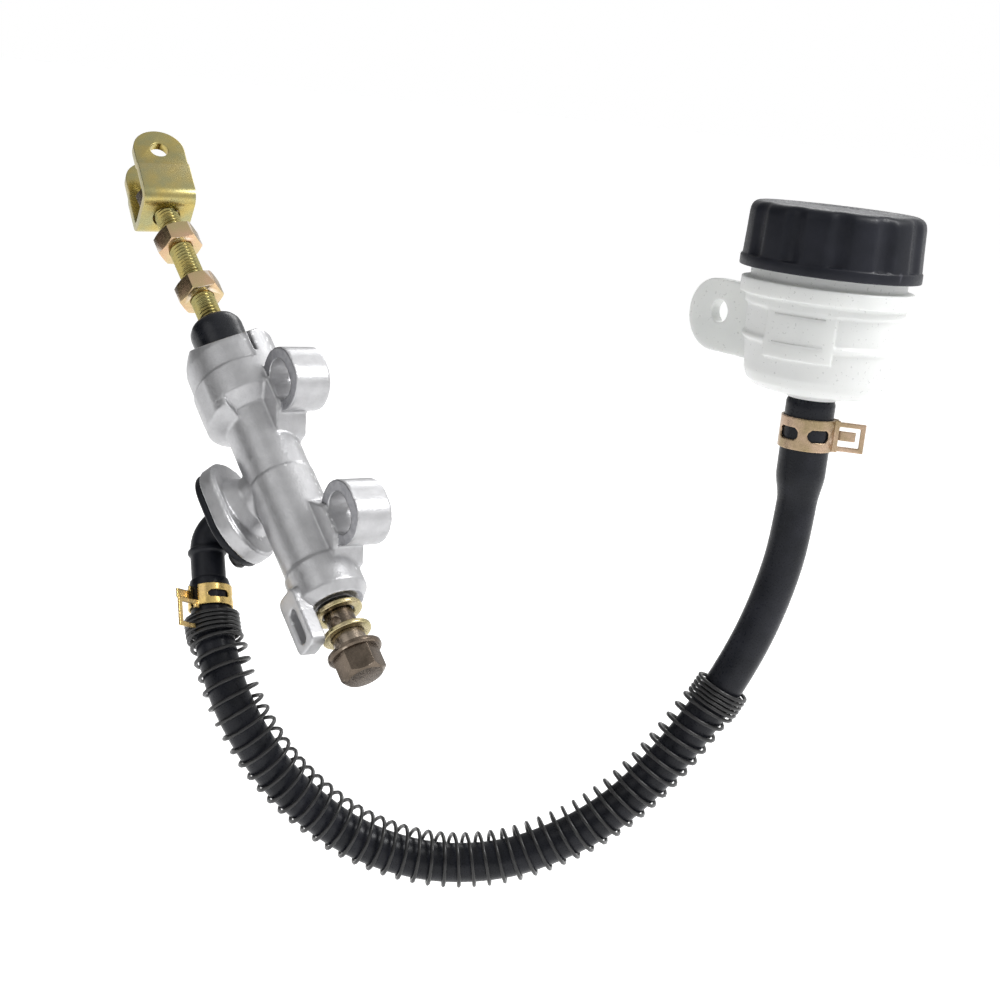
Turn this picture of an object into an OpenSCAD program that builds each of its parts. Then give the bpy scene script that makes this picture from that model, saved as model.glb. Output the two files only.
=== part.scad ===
// Rear brake master cylinder with a remote reservoir.
// Millimetres. The origin is midway between the two mounting slots, on the
// face that bolts to the frame. +Y points into the frame plate, +Z is up and
// the reservoir stands upright. The cylinder leans in the XZ plane.

/* [Mounting] */
// Lean of the cylinder axis from the vertical, degrees
tilt = 50; // [40:1:60]
// Distance between the two mounting slots
lug_spacing = 50; // [48:1:54]
// Width of each mounting lug
lug_w = 17.5; // [16:0.5:19]
// Length of each mounting lug
lug_l = 20; // [19:0.5:23]
// Thickness of each mounting lug
lug_t = 12; // [11:0.5:12.5]
// Width of each mounting slot
slot_w = 9.5; // [8:0.5:10]
// Length of each mounting slot
slot_l = 13; // [11:0.5:14]
// Distance from the slots to the cylinder axis
axis_off = 20; // [19:0.5:22]
// Distance from the mounting face back to the cylinder axis
axis_back = 11.6; // [11.5:0.1:12]

/* [Cylinder] */
// Radius of the machined bore
bore_r = 6.35; // [6:0.05:6.5]
// Radius of the barrel above the parting step
barrel_r = 10; // [9.5:0.5:11]
// Radius of the barrel below the parting step
barrel_low_r = 10.3; // [10.2:0.1:12]
// Radius of the collar round the open end
collar_r = 15; // [14:0.5:16]
// Height of the open end above the slots' middle
mouth_z = 56; // [55:0.5:57]
// Depth of the outlet face below the slots' middle
port_z = 44.5; // [44:0.5:46]
// Radius of the thread in the outlet port
port_r = 5; // [4.9:0.05:5.1]

/* [Pushrod] */
// Radius of the threaded rod
rod_r = 3.95; // [3.9:0.01:3.95]
// Distance across the flats of the rod nuts
nut_af = 13; // [12.8:0.1:13]
// Height of the rod nuts
nut_h = 6.5; // [6:0.5:6.5]
// Height of the middle of the adjuster nut
adjuster_z = 77.5; // [76:0.5:80]
// Height of the middle of the lock nut
lock_z = 98.7; // [96:0.1:100]
// Height of the underside of the clevis
clevis_z = 110; // [109:0.5:111]
// Width of the clevis strip
clevis_w = 17; // [16:0.5:18]
// Half of the outside width of the clevis
clevis_half = 9.8; // [9.8:0.1:10.2]
// Lean of the loose clevis in its clearance hole, degrees
clevis_lean = 8; // [0:1:8]
// Thickness of the clevis strip
clevis_t = 3; // [2.5:0.1:3]
// Radius of the pin hole in the clevis
pin_r = 3; // [2.5:0.1:3.5]

/* [Reservoir] */
// Place of the reservoir axis to the right of the mount
res_x = 86; // [84:1:88]
// Place of the reservoir axis behind the mount
res_y = 106; // [104:1:108]
// Radius of the reservoir body at its top
res_r = 22.5; // [22:0.1:23]
// Radius of the cap
cap_r = 26.5; // [26:0.1:27]
// Height of the cap
cap_h = 19; // [18.5:0.1:19.5]
// Number of grip flutes round the cap
flutes = 12; // [10:1:14]
// Radius of the bolt hole in the reservoir ear
ear_hole_r = 3.4; // [3:0.1:3.6]

/* [Hose] */
// Radius of the hose
hose_r = 6; // [6:0.1:6.2]
// Radius of the hose's inside
hose_in_r = 3.5; // [3.4:0.1:3.6]
// Radius of the hose where the reservoir's spout swells it
swell_r = 7.4; // [7:0.1:7.6]
// Outside radius of the spring guard
guard_r = 8.5; // [8.3:0.1:8.7]
// Radius of the spring guard's wire
guard_wire_r = 0.6; // [0.5:0.05:0.7]

/* [Hidden] */
$fn = 64;
eps = 0.01;

// Heights along the cylinder axis
collar_z = 25;                       // underside of the open end's collar
collar_deep_turn = 190;              // it reaches lower on this side
collar_deep_span = 110;
collar_step_z = 38.5;                 // fine step round the collar
block_z = 50.5;                      // top of the block beside the mouth
mouth_slant = 33;                    // how the end face falls away, degrees
mouth_slant_turn = -30;              // towards this side
slant_rise = 10.6;                   // its height above the mouth at the far side
split_z = 41;                        // foot of the thin slot beside the boot
split_w = 1.2;
web_y = -1.5;                         // webs that tie the lugs to the barrel
web_t = 10.5;
web_from = 12;
web_to = 36;
web_slope = 7;                       // rise of a web from the barrel to its lug
step_z = 1;                          // parting step on the barrel
stop_low_z = -55.9;                  // lug that keeps the banjo from turning
stop_high_z = -37;
stop_pocket_z = -48;
stop_edge_r = 2.4;
stop_t = 4.7;
stop_out = 1.5;
boss_z = -30;                        // top of the outlet boss
boss_r = 11.1;
bore_end_z = -31;                    // blind end of the bore
seat_z = -6.1;                       // spring seat
piston_end_z = 42.5;                 // rear face of the piston
ball_z = 41.5;                       // centre of the pushrod's ball nose
ball_r = 4;
washer_z = 45.7;                     // stop washer
washer_t = 1.2;
ring_t = 1.2;                        // snap ring
counter_r = 8.5;                     // counterbore at the open end
rod_top_z = 122;
nut_turn = 43;                       // how the two outer nuts are turned
clevis_turn = -11;                   // how the clevis is turned on the rod
pin_z = 132;                         // height of the clevis pin hole
nut_gap = 1.3;                       // the clevis rocks in this gap
boot_low_z = 49;
boot_top_z = 64.5;
boot_edge_r = 3.5;                   // rounding of the boot's top
run = 0.05;                          // running clearance
clear = 0.3;                         // gap between bodies that pass each other
cup_h = 3.5;                         // height of both cup seals
cup_root_r = 3.5;                    // piston groove of the primary cup
cup_low_z = -4.5;
cup2_root_r = 3.9;                   // piston groove of the secondary cup
cup2_low_z = 32;
waist_r = 4.2;                       // piston waist that holds the fluid
spring_r = 4.5;                      // mean radius of the return spring
spring_wire_r = 0.55;
spring_turns = 7;
stop_flange_r = 5.6;                 // pushrod flange behind the stop washer
stop_flange_t = 1.6;
stop_r = 4.8;                        // hole in the stop washer
ear_shift = 1;                       // how far the clevis ears step inwards
ear_step_z = 124.5;                  // where they step
ear_step_h = 1.7;
bend_r = 4.5;                        // outside radius of the clevis bends

// Inlet flange on the side of the barrel
inlet_turn = 210;                    // its direction round the axis, degrees
inlet_z = 1;
stub_from = 6;                       // stub between the barrel and the flange
stub_r = 8;
stub_flare = 4;                      // it widens over this length
flange_in = 14.4;                    // inner face, measured from the axis
flange_out = 19.8;
plate_t = 2.5;                       // elbow's plate
flange_l = 34;
flange_w = 25;
inlet_r = 3.5;
screw_deep = 4.1;                    // depth of their blind holes
screw_span = 26;                     // between the two inlet screws
elbow_r = 5.2;
elbow_rise = 7.37;                     // from the plate to the elbow's corner
elbow_lean = 71;                     // how far the elbow bends, degrees
elbow_tail = 14.83;                  // from the corner to the hose's end
elbow_in_r = 2.6;
barb_len = 12;

// Heights on the reservoir
cap_z = 66.4;                        // lower rim of the cap
neck_top_z = 79;
neck_r = 23.6;
neck_in_r = 20.5;
flange_z = 58.7;
body_low_z = 38;
body_low_r = 21.3;
spout_z = 31;
spout_r = 7.4;
hose_top_z = 29.5;
wall = 1.8;
ear_x = -35;                         // middle of the ear's round end
ear_y = -8;
ear_z = 48.8;
ear_r = 11;
ear_hole_x = -33;                    // the bolt hole sits a little off it
ear_hole_z = 50;
ear_t = 4;

// Banjo bolt and its washers, along the cylinder axis
bolt_r = 4.95;
flange_face_z = -59.6;
washer_r = 7.5;
seal_t = 1.5;
inner_washer_z = -46.5;
outer_washer_z = -53.8;

// The hose's route from the elbow to the reservoir's spout
hose_route = [
    [-22.1, -28.8, -46.6], [-16.2, -30.5, -55.8], [-8.5, -31.8, -65.5],
    [-1, -30.5, -77], [4.5, -25.5, -88.5], [9, -18, -99.5], [14, -8, -109.5],
    [20, 3, -117.5], [27, 16, -123], [35, 30, -125], [44, 45, -122.5],
    [52.5, 58.5, -115.5], [60, 69.5, -106], [66.5, 79, -93.5],
    [72.5, 87, -78.5], [78, 94.5, -61], [82.5, 100.5, -42],
    [85.2, 104.6, -22], [86, 106, -4], [86, 106, 8], [86, 106, 19],
    [86, 106, 29.5]];
swell_z = 4;                         // the spout swells the hose above this
guard_first = 1;                     // route points between which the
guard_last = 15;                     // spring guard lies
tab_l = 10;                          // clamp tabs
tab_bar = 1.4;
lower_clamp_z = 2.6;                 // from the elbow's tail
upper_clamp_z = 14.5;
panel_turn = -92;                    // raised panel on the reservoir, degrees
panel_span = 54;
panel_z = 42;

// ---------- helpers ----------

module on_axis() rotate([0, -tilt, 0]) translate([-axis_off, -axis_back, 0]) children();

module at_lug(side) translate([axis_off, axis_back, side * lug_spacing / 2]) children();

// Frame of the inlet: +Z out of the flange, +X down the cylinder
module at_inlet(out = 0)
    rotate([0, 0, inlet_turn]) translate([out, 0, inlet_z]) rotate([0, 90, 0]) children();

module at_reservoir() translate([res_x, res_y, 0]) children();

module tube(r_out, r_in, h) difference() {
    cylinder(r = r_out, h = h);
    translate([0, 0, -eps]) cylinder(r = r_in, h = h + 2 * eps);
}

// Flat plate with round ends, its long side along X
module obround(l, w, h) {
    for (s = [-1, 1]) translate([s * (l - w) / 2, 0, 0]) cylinder(d = w, h = h);
    translate([-(l - w) / 2, -w / 2, 0]) cube([l - w, w, h]);
}

module hex(af, h) cylinder(d = af / cos(30), h = h, $fn = 6);

// Hexagon nut with both faces chamfered
module nut(af, h, hole_r) difference() {
    intersection() {
        rotate([0, 0, 30]) hex(af, h);
        rotate_extrude() polygon([
            [0, 0], [af / 2, 0], [af / 2 + 1.2, 0.7],
            [af / 2 + 1.2, h - 0.7], [af / 2, h], [0, h]]);
    }
    translate([0, 0, -eps]) cylinder(r = hole_r, h = h + 2 * eps);
}

function unit(v) = v / norm(v);
function tangent(p, i) =
    i == 0 ? unit(p[1] - p[0]) :
    i == len(p) - 1 ? unit(p[i] - p[i - 1]) : unit(p[i + 1] - p[i - 1]);
// Side direction of a ring: level, square to the route
function side(p, i) = unit(cross(tangent(p, i), [-0.77, 0.64, 0.01]));
function ring(p, i, r, sides) =
    let (t = tangent(p, i), a = side(p, i), b = cross(t, a))
    [for (k = [0 : sides - 1]) p[i] + r * (cos(360 * k / sides) * a + sin(360 * k / sides) * b)];

// Hollow tube swept along route p, with one outside radius per ring
module swept_tube(p, radii, r_in, sides) {
    n = len(p);
    m = n * sides;
    outer = [for (i = [0 : n - 1]) each ring(p, i, radii[i], sides)];
    inner = [for (i = [0 : n - 1]) each ring(p, i, r_in, sides)];
    out_walls = [for (i = [0 : n - 2], k = [0 : sides - 1])
        let (j = (k + 1) % sides)
        [i * sides + k, i * sides + j, (i + 1) * sides + j, (i + 1) * sides + k]];
    in_walls = [for (f = out_walls) [f[3] + m, f[2] + m, f[1] + m, f[0] + m]];
    first = [for (k = [0 : sides - 1]) let (j = (k + 1) % sides) [j, k, k + m, j + m]];
    e = (n - 1) * sides;
    last = [for (k = [0 : sides - 1]) let (j = (k + 1) % sides)
        [e + k, e + j, e + j + m, e + k + m]];
    polyhedron(concat(outer, inner), concat(out_walls, in_walls, first, last));
}

// Round wire wound into a compression spring along Z
module coil_spring(mean_r, wire_r, h, turns, sides = 6, per_turn = 14) {
    n = turns * per_turn;
    path = [for (i = [0 : n])
        [mean_r * cos(360 * i / per_turn), mean_r * sin(360 * i / per_turn),
         wire_r + (h - 2 * wire_r) * i / n]];
    pts = [for (i = [0 : n], k = [0 : sides - 1])
        let (c = cos(360 * k / sides), s = sin(360 * k / sides), a = 360 * i / per_turn)
        path[i] + wire_r * [c * cos(a), c * sin(a), s]];
    walls = [for (i = [0 : n - 1], k = [0 : sides - 1])
        let (j = (k + 1) % sides)
        [i * sides + j, i * sides + k, (i + 1) * sides + k, (i + 1) * sides + j]];
    start = [[for (k = [0 : sides - 1]) k]];
    end = [[for (k = [sides - 1 : -1 : 0]) n * sides + k]];
    polyhedron(pts, concat(walls, start, end));
}

// ---------- cast housing ----------

module lug(side) at_lug(side) rotate([90, 90, 0]) obround(lug_l, lug_w, lug_t);

module lug_slot(side)
    at_lug(side) translate([0, eps, 0]) rotate([90, 90, 0]) obround(slot_l, slot_w, lug_t + 2 * eps);

module lug_web() translate([0, web_y + web_t, 0]) rotate([90, 0, 0]) linear_extrude(web_t)
    polygon([[0, web_from], [barrel_r - 1, web_from], [axis_off - lug_w / 4, web_from + web_slope],
             [axis_off - lug_w / 4, web_to - web_slope], [barrel_r - 1, web_to], [0, web_to]]);

// Collar with a rounded shoulder, flat towards the mounting face. Its end
// face falls away to one side and a thin slot parts it from the block there.
module collar() difference() {
    intersection() {
        union() {
            rotate([0, 0, collar_deep_turn]) rotate_extrude(angle = collar_deep_span) polygon([
                [barrel_r - 1, collar_z - 3], [barrel_r, collar_z - 3],
                [collar_r - 0.1, collar_z + 1], [collar_r - 0.1, collar_z + 5],
                [barrel_r - 1, collar_z + 5]]);
            rotate_extrude() polygon([
                [0, collar_z], [barrel_r, collar_z], [collar_r, collar_z + 4],
                [collar_r, collar_step_z], [collar_r - 0.6, collar_step_z + 0.4],
                [collar_r - 0.7, mouth_z - 9], [collar_r - 1.3, mouth_z - 6.5],
                [collar_r - 2.6, mouth_z - 3.6], [counter_r + 2.4, mouth_z - 1],
                [counter_r + 0.8, mouth_z], [0, mouth_z]]);
            intersection() {
                translate([0, -1, collar_step_z]) cube(2 * collar_r);
                cylinder(r = collar_r, h = block_z);
            }
        }
        translate([-collar_r + 0.6, -collar_r + 0.4, 0])
            cube([2 * collar_r - 0.2, collar_r - 0.4 + axis_back, mouth_z + 1]);
    }
    rotate([0, 0, mouth_slant_turn]) translate([-collar_r, 0, mouth_z + slant_rise])
        rotate([0, mouth_slant, 0]) translate([0, -2 * collar_r, 0]) cube(4 * collar_r);
    translate([counter_r + 1.3, -split_w / 2, split_z]) cube([collar_r, split_w, mouth_z - split_z]);
}

module inlet_flange() {
    at_inlet(stub_from) cylinder(r = stub_r, h = flange_in - stub_from + eps);
    at_inlet(flange_in - stub_flare) cylinder(r1 = stub_r, r2 = stub_r + 2.5, h = stub_flare + 0.3);
    at_inlet(flange_in + 0.8) obround(flange_l, flange_w, flange_out - flange_in - 0.8);
    at_inlet(flange_in) obround(flange_l - 1.6, flange_w - 1.6, 1);
}

// Lug with a pocket that keeps a banjo fitting from turning
module stop_lug() translate([-3, -barrel_low_r - 1.2, 0]) difference() {
    hull() for (x = [-1, 1], z = [stop_low_z + stop_edge_r, stop_high_z - stop_edge_r])
        translate([x * stop_edge_r, -stop_out, z]) rotate([-90, 0, 0])
            cylinder(r = stop_edge_r, h = stop_t, $fn = 32);
    translate([0, 1.8, stop_pocket_z]) rotate([90, 90, 0]) obround(11, 3.6, 6);
}

module cylinder_housing() color("gainsboro") on_axis() difference() {
    union() {
        translate([0, 0, step_z]) cylinder(r = barrel_r, h = collar_z - step_z);
        translate([0, 0, boss_z - 1]) cylinder(r = barrel_low_r, h = step_z - boss_z + 1);
        rotate_extrude() polygon([
            [0, -port_z], [boss_r - 2.3, -port_z], [boss_r, -port_z + 3],
            [boss_r, boss_z - 2], [barrel_low_r - 0.5, boss_z], [0, boss_z]]);
        collar();
        for (s = [-1, 1]) lug(s);
        lug_web();
        mirror([0, 0, 1]) lug_web();
        inlet_flange();
        stop_lug();
    }
    for (s = [-1, 1]) lug_slot(s);
    translate([0, 0, bore_end_z]) cylinder(r = bore_r, h = mouth_z - bore_end_z + 1);
    translate([0, 0, washer_z]) cylinder(r = counter_r, h = mouth_z - washer_z + 1);
    translate([0, 0, washer_z + washer_t]) cylinder(r = counter_r + 0.6, h = ring_t);
    translate([0, 0, bore_end_z - 4]) cylinder(r = 1.5, h = 5);
    translate([0, 0, -port_z - 1]) cylinder(r = port_r, h = port_z + bore_end_z - 1.5);
    translate([0, 0, -port_z - eps]) cylinder(r1 = port_r + 1.2, r2 = port_r, h = 1.2);
    at_inlet(bore_r - 2) cylinder(r = 1.6, h = 8);
    at_inlet(11) cylinder(r = inlet_r, h = 20);
    at_inlet(flange_out - 1.3) tube(6.9, 5.1, 2);
    for (s = [-1, 1]) at_inlet(flange_out - screw_deep) translate([s * screw_span / 2, 0, 0])
        cylinder(r = 1.95, h = 12);
}

// ---------- inside the bore ----------

module piston() color("goldenrod") on_axis() difference() {
    rotate_extrude() polygon([
        [0, seat_z - 2], [2.4, seat_z - 2], [2.4, cup_low_z], [cup_root_r, cup_low_z],
        [cup_root_r, cup_low_z + cup_h], [bore_r - run, cup_low_z + cup_h], [bore_r - run, 1.5],
        [waist_r, 2.5], [waist_r, cup2_low_z - 4], [bore_r - run, cup2_low_z - 3],
        [bore_r - run, cup2_low_z], [cup2_root_r, cup2_low_z], [cup2_root_r, cup2_low_z + cup_h],
        [bore_r - run, cup2_low_z + cup_h], [bore_r - run, piston_end_z - 0.5],
        [bore_r - 0.5, piston_end_z], [0, piston_end_z]]);
    translate([0, 0, ball_z]) sphere(r = ball_r + run);
    translate([0, 0, ball_z]) cylinder(r = ball_r + run, h = ball_r);
}

// Cup seal with a lip that opens towards the pressure side
module cup(root_r, low, h) rotate_extrude() polygon([
    [root_r, low], [root_r + 0.9, low], [root_r + 1.1, low + h * 0.45],
    [bore_r - 0.5, low + h * 0.45], [bore_r - 0.02, low], [bore_r - 0.02, low + h * 0.6],
    [bore_r - 0.35, low + h], [root_r, low + h]]);

module primary_cup() color([0.12, 0.12, 0.13]) on_axis() cup(cup_root_r, cup_low_z, cup_h);

module secondary_cup() color([0.12, 0.12, 0.13]) on_axis() cup(cup2_root_r, cup2_low_z, cup_h);

module spring_seat() color("silver") on_axis() translate([0, 0, seat_z])
    rotate_extrude() polygon([
        [2.4, 0], [5.5, 0], [5.5, 0.6], [3.4, 0.6], [3.4, 1.6], [2.4, 1.6]]);

module return_spring() color("darkgray") on_axis() translate([0, 0, bore_end_z])
    coil_spring(spring_r, spring_wire_r, seat_z - bore_end_z, spring_turns);

module stop_washer() color("silver") on_axis() translate([0, 0, washer_z])
    tube(counter_r - 0.1, stop_r, washer_t);

module snap_ring() color([0.3, 0.3, 0.32]) on_axis() translate([0, 0, washer_z + washer_t])
    difference() {
        union() {
            tube(counter_r + 0.5, 7.1, ring_t);
            for (s = [-1, 1]) rotate([0, 0, s * 16]) translate([0, -6.9, 0])
                cylinder(r = 1.5, h = ring_t);
        }
        translate([-1, -10, -1]) cube([2, 5, 4]);
        for (s = [-1, 1]) rotate([0, 0, s * 16]) translate([0, -6.9, -1])
            cylinder(r = 0.7, h = 4);
    }

// Domed rubber cap whose skirt fills the mouth and whose lip rings the rod
module dust_boot() color([0.08, 0.08, 0.09]) on_axis() rotate_extrude() {
    dome_z = boot_top_z - boot_edge_r;
    translate([counter_r - 0.8, boot_low_z]) square([0.8, dome_z - boot_low_z]);
    translate([counter_r - boot_edge_r, dome_z]) intersection() {
        difference() {
            circle(r = boot_edge_r);
            circle(r = boot_edge_r - 0.8);
        }
        translate([0, -eps]) square(boot_edge_r);
    }
    translate([rod_r + clear, boot_top_z - 2]) square([counter_r - boot_edge_r - rod_r, 2]);
}

// ---------- pushrod and clevis ----------

module pushrod() color("darkkhaki") on_axis() {
    translate([0, 0, ball_z]) sphere(r = ball_r);
    translate([0, 0, ball_z]) cylinder(r = ball_r - 0.6, h = 3);
    translate([0, 0, washer_z - 0.5 - stop_flange_t]) cylinder(r = stop_flange_r, h = stop_flange_t);
    translate([0, 0, washer_z - 0.7]) cylinder(r = rod_r, h = rod_top_z - washer_z - 0.3);
    translate([0, 0, rod_top_z - 1 - eps]) cylinder(r1 = rod_r, r2 = rod_r - 1, h = 1);
}

module adjuster_nut() color("rosybrown") on_axis() translate([0, 0, adjuster_z - nut_h / 2])
    rotate([0, 0, nut_turn]) nut(nut_af, nut_h, rod_r);

module lock_nut() color("rosybrown") on_axis() translate([0, 0, lock_z - nut_h / 2])
    rotate([0, 0, nut_turn]) nut(nut_af, nut_h, rod_r + run);

module clevis_nut() color("rosybrown") on_axis()
    translate([0, 0, clevis_z + clevis_t + nut_gap]) rotate([0, 0, clevis_turn])
    nut(nut_af, nut_h, rod_r + run);

// Side view of the bent strip: base, two bends and one wall
module clevis_wall() {
    out = clevis_half;
    translate([out - bend_r, clevis_z + bend_r]) intersection() {
        difference() {
            circle(r = bend_r);
            circle(r = bend_r - clevis_t);
        }
        translate([0, -bend_r]) square(bend_r);
    }
    translate([-eps, clevis_z]) square([out - bend_r + 2 * eps, clevis_t]);
    polygon([
        [out, clevis_z + bend_r - eps], [out, ear_step_z],
        [out - ear_shift, ear_step_z + ear_step_h], [out - ear_shift, pin_z + clevis_w],
        [out - ear_shift - clevis_t, pin_z + clevis_w],
        [out - ear_shift - clevis_t, ear_step_z + ear_step_h],
        [out - clevis_t, ear_step_z], [out - clevis_t, clevis_z + bend_r - eps]]);
}

// Frame of the clevis: turned on the rod and leaning about its base
module at_clevis() rotate([0, 0, clevis_turn]) translate([0, 0, clevis_z + clevis_t / 2])
    rotate([-clevis_lean, 0, 0]) translate([0, 0, -clevis_z - clevis_t / 2]) children();

module clevis() color("darkkhaki") on_axis() at_clevis() difference() {
    intersection() {
        translate([0, clevis_w / 2, 0]) rotate([90, 0, 0]) linear_extrude(clevis_w) {
            clevis_wall();
            mirror([1, 0]) clevis_wall();
        }
        union() {
            translate([-clevis_w, -clevis_w, clevis_z - 1])
                cube([2 * clevis_w, 2 * clevis_w, pin_z - clevis_z + 1]);
            translate([-clevis_w, 0, pin_z]) rotate([0, 90, 0]) cylinder(d = clevis_w, h = 2 * clevis_w);
        }
    }
    translate([-clevis_w, 0, pin_z]) rotate([0, 90, 0]) cylinder(r = pin_r, h = 2 * clevis_w);
    translate([0, 0, clevis_z - 1]) cylinder(r = rod_r + 0.45, h = clevis_t + 2);
}

// ---------- inlet ----------

module at_elbow_corner() translate([0, 0, plate_t + elbow_rise]) rotate([0, elbow_lean, 0]) children();

module inlet_elbow() color([0.1, 0.1, 0.11]) on_axis() at_inlet(flange_out) difference() {
    union() {
        obround(flange_l - 1, flange_w - 1, plate_t);
        cylinder(r = elbow_r, h = plate_t + elbow_rise);
        at_elbow_corner() {
            sphere(r = elbow_r);
            cylinder(r = elbow_r, h = elbow_tail);
            cylinder(r = 3.9, h = elbow_tail + barb_len);
            translate([0, 0, elbow_tail + barb_len - 4]) cylinder(r1 = 4.6, r2 = 3.6, h = 3);
        }
    }
    translate([0, 0, -1]) cylinder(r = elbow_in_r, h = plate_t + elbow_rise + 1);
    at_elbow_corner() {
        sphere(r = elbow_in_r);
        cylinder(r = elbow_in_r, h = elbow_tail + barb_len + 1);
    }
    for (s = [-1, 1]) translate([s * screw_span / 2, 0, -1]) cylinder(r = 2.1, h = 5);
}

module inlet_o_ring() color([0.05, 0.05, 0.05]) on_axis() at_inlet(flange_out - 0.65)
    rotate_extrude() translate([6, 0]) circle(r = 0.65, $fn = 24);

module inlet_screws() color([0.15, 0.15, 0.16]) on_axis() at_inlet(flange_out)
    for (s = [-1, 1]) translate([s * screw_span / 2, 0, 0]) difference() {
        union() {
            translate([0, 0, 0.3 - screw_deep]) cylinder(r = 1.9, h = screw_deep + plate_t);
            translate([0, 0, plate_t]) rotate_extrude() polygon([
                [0, 0], [3.3, 0], [3.3, 1], [2.6, 2], [0, 2.3]]);
        }
        for (a = [0, 90]) rotate([0, 0, a]) translate([-1.9, -0.4, plate_t + 1])
            cube([3.8, 0.8, 2]);
    }

// ---------- hose ----------

module feed_hose() color([0.12, 0.12, 0.13])
    swept_tube(hose_route, [for (p = hose_route) p[2] > swell_z ? swell_r : hose_r], hose_in_r, 12);

module spring_guard() color([0.05, 0.05, 0.05])
    swept_tube([for (i = [guard_first : guard_last]) hose_route[i]],
               [for (i = [guard_first : guard_last]) guard_r], guard_r - 2 * guard_wire_r, 12);

// Spring-band clamp: slotted band, open loop tab and tongue. tab_z is the
// foot of the tab, tab_h its height.
module band_clamp(r_in, w, t, tab_z, tab_h, tab_l = tab_l) difference() {
    union() {
        tube(r_in + t, r_in, w);
        translate([r_in, -1.2, tab_z]) difference() {
            cube([tab_l, t, tab_h]);
            translate([tab_l / 4, -1, tab_bar]) cube([tab_l * 0.6, 3, tab_h - 2 * tab_bar]);
        }
        translate([r_in, 0.6, w / 2 - 1.3]) cube([tab_l * 0.75, t, 2.6]);
    }
    for (a = [150, 215, 280]) rotate([0, 0, a]) translate([r_in, 0, w / 2])
        cube([6, 5.5, w * 0.42], center = true);
}

module lower_hose_clamp() color("goldenrod") on_axis() at_inlet(flange_out)
    at_elbow_corner() translate([0, 0, elbow_tail + lower_clamp_z]) difference() {
        rotate([0, 0, 100]) band_clamp(hose_r, 6.5, 0.7, 5.2, 8.8, 8.5);
        translate([0, 0, 7.7]) cylinder(r = guard_r + 0.4, h = 10);
    }

module upper_hose_clamp() color("darkkhaki") at_reservoir() translate([0, 0, upper_clamp_z])
    rotate([0, 0, 45]) band_clamp(swell_r, 9.5, 0.8, 0.5, 8.5);

// ---------- reservoir ----------

module reservoir_outline() polygon([
    [0, 6], [3.6, 6], [4.6, 9], [4.1, 9.5], [4.1, hose_top_z], [spout_r, hose_top_z],
    [spout_r + 0.4, spout_z - 0.8], [12, spout_z - 0.3], [body_low_r - 3.5, spout_z + 1],
    [body_low_r - 1.2, spout_z + 3], [body_low_r - 0.2, spout_z + 5.5], [body_low_r, body_low_z + 1],
    [res_r - 0.4, 45.4], [res_r + 0.6, 46], [res_r + 0.6, 47], [res_r - 0.2, 47.6],
    [res_r, 55.5], [res_r + 1, 56], [res_r + 1, flange_z], [25.3, flange_z],
    [25.3, flange_z + 4.6], [neck_r - 0.8, flange_z + 4.6], [neck_r - 0.8, 68],
    [neck_r, 68.4], [neck_r, 77], [neck_r - 0.8, neck_top_z], [0, neck_top_z]]);

module reservoir_hollow() polygon([
    [0, 5], [2.6, 5], [2.6, spout_z + 1], [12, spout_z + 1.7], [body_low_r - 4, spout_z + 2.8],
    [body_low_r - 2.6, spout_z + 4.6], [body_low_r - wall, body_low_z + 1], [neck_in_r, 50],
    [neck_in_r, neck_top_z + 1], [0, neck_top_z + 1]]);

module reservoir_ear() translate([ear_x, ear_y + ear_t / 2, ear_z]) rotate([90, 0, 0]) {
    cylinder(r = ear_r, h = ear_t);
    translate([0, -ear_r, 0]) cube([-ear_x - 18.5, 2 * ear_r, ear_t]);
}

module reservoir_body() color([0.92, 0.93, 0.92]) at_reservoir() difference() {
    union() {
        rotate_extrude() reservoir_outline();
        reservoir_ear();
        rotate([0, 0, panel_turn]) rotate_extrude(angle = panel_span)
            translate([res_r - 2, panel_z]) square([2.7, flange_z - panel_z + eps]);
    }
    rotate_extrude() reservoir_hollow();
    translate([ear_hole_x, 0, ear_hole_z]) rotate([90, 0, 0])
        cylinder(r = ear_hole_r, h = 40, center = true);
}

module diaphragm() color([0.15, 0.15, 0.16]) at_reservoir() rotate_extrude() polygon([
    [0, 68.4], [16.8, 68.4], [18, 69.6], [17.2, 71.4], [19, 73], [19, neck_top_z],
    [neck_r - 0.3, neck_top_z], [neck_r - 0.3, neck_top_z + 1.4], [17.8, neck_top_z + 1.4],
    [17.8, 73.6], [16, 72], [16, 71], [16.6, 70], [16.3, 69.6], [0, 69.6]]);

module slip_ring() color([0.85, 0.85, 0.82]) at_reservoir() translate([0, 0, neck_top_z + 1.5])
    tube(neck_r - 0.4, 15, 1.4);

// Screw cap with shallow grip flutes and a plain rim
module reservoir_cap() color([0.13, 0.13, 0.14]) at_reservoir() translate([0, 0, cap_z]) difference() {
    rotate_extrude() polygon([
        [0, 0], [cap_r, 0], [cap_r, 3], [cap_r - 0.3, 3.4], [cap_r - 0.9, cap_h - 2],
        [cap_r - 1.5, cap_h - 0.9], [cap_r - 2.8, cap_h - 0.2], [cap_r - 5, cap_h],
        [cap_r - 6.5, cap_h - 0.5], [0, cap_h - 0.2]]);
    translate([0, 0, -1]) cylinder(r = neck_r + 0.4, h = 16.7 + 1);
    for (i = [0 : flutes - 1]) rotate([0, 0, 360 * (i + 0.5) / flutes])
        translate([cap_r + 6.6, 0, 3.2]) cylinder(r = 7.6, h = cap_h);
}

// ---------- outlet ----------

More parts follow.
